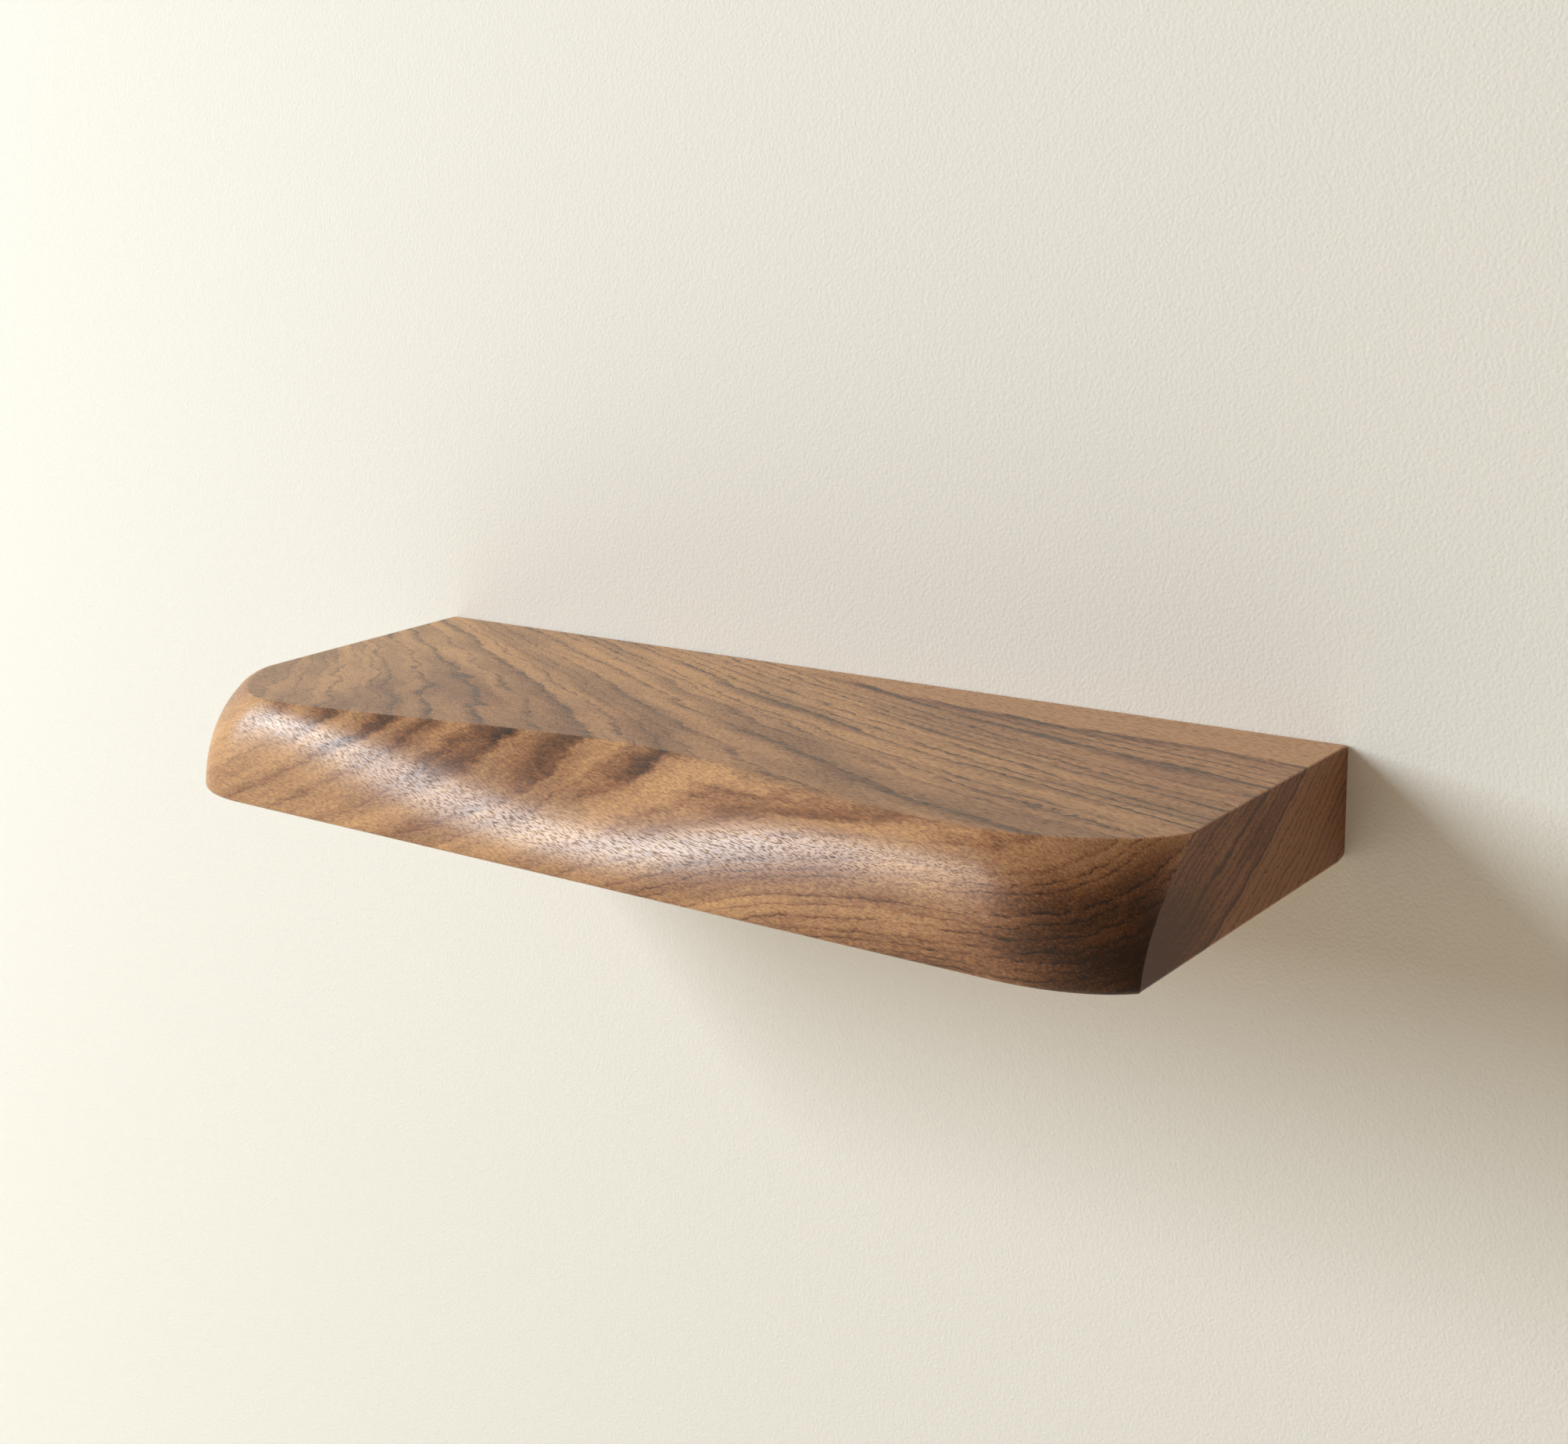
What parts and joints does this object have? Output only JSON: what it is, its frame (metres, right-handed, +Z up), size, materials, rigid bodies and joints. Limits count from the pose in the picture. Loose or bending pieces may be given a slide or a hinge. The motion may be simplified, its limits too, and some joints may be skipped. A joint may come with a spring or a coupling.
{
  "type": "floating wall shelf",
  "caption": "Solid walnut floating wall shelf with a sculpted, bowed front edge, carried on a concealed steel rod bracket.",
  "frame": {"origin": "centre of the wall plate's back face, on the plane of the wall, halfway up the board", "axes": "+X along the wall to the right seen from the room, -Y out of the wall into the room, +Z up"},
  "size_m": [0.6, 0.2768, 0.058],
  "materials": {
    "walnut": "satin hardwax oil",
    "black_steel": "black powder coat",
    "bright_steel": "bright turned bar",
    "zinc_steel": "zinc plated",
    "nylon": "moulded nylon",
    "brass": "turned brass"
  },
  "bodies": {
    "bracket": {"wall_plate": "black_steel", "support_rod_left": "bright_steel", "support_rod_right": "bright_steel", "rod_bolt_left": "zinc_steel", "rod_bolt_right": "zinc_steel", "wall_screw_1": "zinc_steel", "wall_screw_2": "zinc_steel", "wall_screw_3": "zinc_steel", "wall_screw_4": "zinc_steel", "wall_washer_1": "zinc_steel", "wall_washer_2": "zinc_steel", "wall_washer_3": "zinc_steel", "wall_washer_4": "zinc_steel", "wall_plug_1": "nylon", "wall_plug_2": "nylon", "wall_plug_3": "nylon", "wall_plug_4": "nylon"},
    "board": {"shelf_board": "walnut", "threaded_insert_left": "brass", "threaded_insert_right": "brass", "lock_screw_left": "zinc_steel", "lock_screw_right": "zinc_steel"}
  },
  "joints": [
    {"name": "board_slide", "type": "slide", "parent": "bracket", "child": "board", "axis": [0, -1, 0], "range_m": [0, 0.15]}
  ]
}
